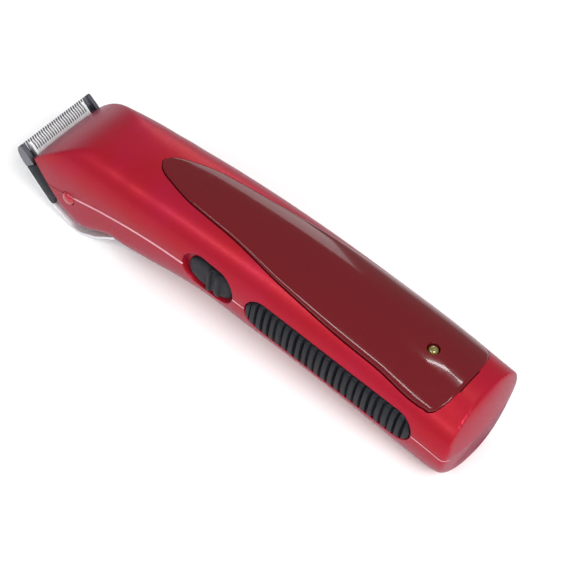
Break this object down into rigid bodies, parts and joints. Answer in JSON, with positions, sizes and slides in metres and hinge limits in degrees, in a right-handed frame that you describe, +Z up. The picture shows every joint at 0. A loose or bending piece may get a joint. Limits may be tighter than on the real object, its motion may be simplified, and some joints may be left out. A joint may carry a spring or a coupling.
{
  "type": "cordless hair clipper",
  "caption": "Cordless hair clipper with a toothed blade set, moulded two-part body, slide switch, side grips and a glossy inlay with a lamp.",
  "frame": {"origin": "middle of the footprint's box, on the surface that the clipper lies on", "axes": "+X from the blade set to the tail, -Y on the switch side, +Z up; the body is tipped 5.9 degrees so that the blade plate's heel and the tail touch the surface"},
  "size_m": [0.1986, 0.0424, 0.0474],
  "materials": {
    "red_paint": "satin metallic crimson on moulded plastic",
    "burgundy_gloss": "high gloss dark red",
    "gloss_red": "gloss",
    "amber_lens": "tinted clear lens, lamp off",
    "grip_rubber": "matt moulded",
    "black_plastic": "matt moulded",
    "plate_steel": "bright rolled sheet",
    "comb_steel": "dark ground steel",
    "cutter_steel": "ground",
    "brass": "turned",
    "copper_winding": "enamelled winding",
    "white_nylon": "moulded",
    "cell_sleeve": "shrink sleeve",
    "circuit_green": "solder mask"
  },
  "bodies": {
    "housing": {"upper_shell": "red_paint", "lower_shell": "red_paint", "top_inlay": "burgundy_gloss", "status_led": "amber_lens", "grip_near": "grip_rubber", "grip_far": "grip_rubber", "switch_body": "black_plastic", "release_spring": "cutter_steel", "button_guide": "black_plastic", "head_bulkhead": "black_plastic", "hair_seal": "grip_rubber", "drive_bearing": "cutter_steel", "bearing_bracket": "black_plastic", "motor_can": "cutter_steel", "motor_magnet": "comb_steel", "motor_end_cap": "white_nylon", "motor_cradle": "black_plastic", "battery_cell": "cell_sleeve", "battery_holder": "black_plastic", "battery_tab_front": "cutter_steel", "battery_tab_rear": "cutter_steel", "circuit_board": "circuit_green", "charge_chip": "black_plastic", "charge_contact_near": "brass", "charge_contact_far": "brass", "screw_front_near": "cutter_steel", "screw_front_far": "cutter_steel", "screw_middle": "cutter_steel", "screw_rear": "cutter_steel"},
    "blade_set": {"blade_plate": "plate_steel", "blade_carrier": "black_plastic", "comb_blade": "comb_steel", "cutter_spring_near": "plate_steel", "cutter_spring_far": "plate_steel", "comb_screw_near": "plate_steel", "comb_screw_far": "plate_steel"},
    "cutter": {"cutter_blade": "cutter_steel", "cutter_driver": "black_plastic"},
    "drive": {"eccentric_cam": "brass", "drive_shaft": "cutter_steel", "motor_rotor": "copper_winding"},
    "power_switch": {"switch_slider": "grip_rubber", "switch_lever": "black_plastic"},
    "release": {"release_button": "gloss_red"}
  },
  "joints": [
    {"name": "blade_hinge", "type": "hinge", "parent": "housing", "child": "blade_set", "pos_m": [-0.05094, 0, 0.01258], "axis": [0, 1, 0], "range_deg": [-38, 0]},
    {"name": "drive_spin", "type": "hinge", "parent": "housing", "child": "drive", "pos_m": [-0.08695, 0, 0.01889], "axis": [0.9845, 0, 0.1754], "range_deg": [-90, 90]},
    {"name": "cutter_slide", "type": "slide", "parent": "blade_set", "child": "cutter", "axis": [0, 1, 0], "range_m": [-0.0012, 0.0012]},
    {"name": "switch_slide", "type": "slide", "parent": "housing", "child": "power_switch", "axis": [0.9947, 0, -0.1028], "range_m": [-0.0018, 0]},
    {"name": "button_press", "type": "slide", "parent": "housing", "child": "release", "axis": [0, 1, 0], "range_m": [0, 0.0013], "stiffness_N_per_m": 900, "springref_m": -0.001}
  ],
  "couplings": [
    {"joint": "drive_spin", "follows": "cutter_slide", "rad_per_m": -1308.9}
  ]
}
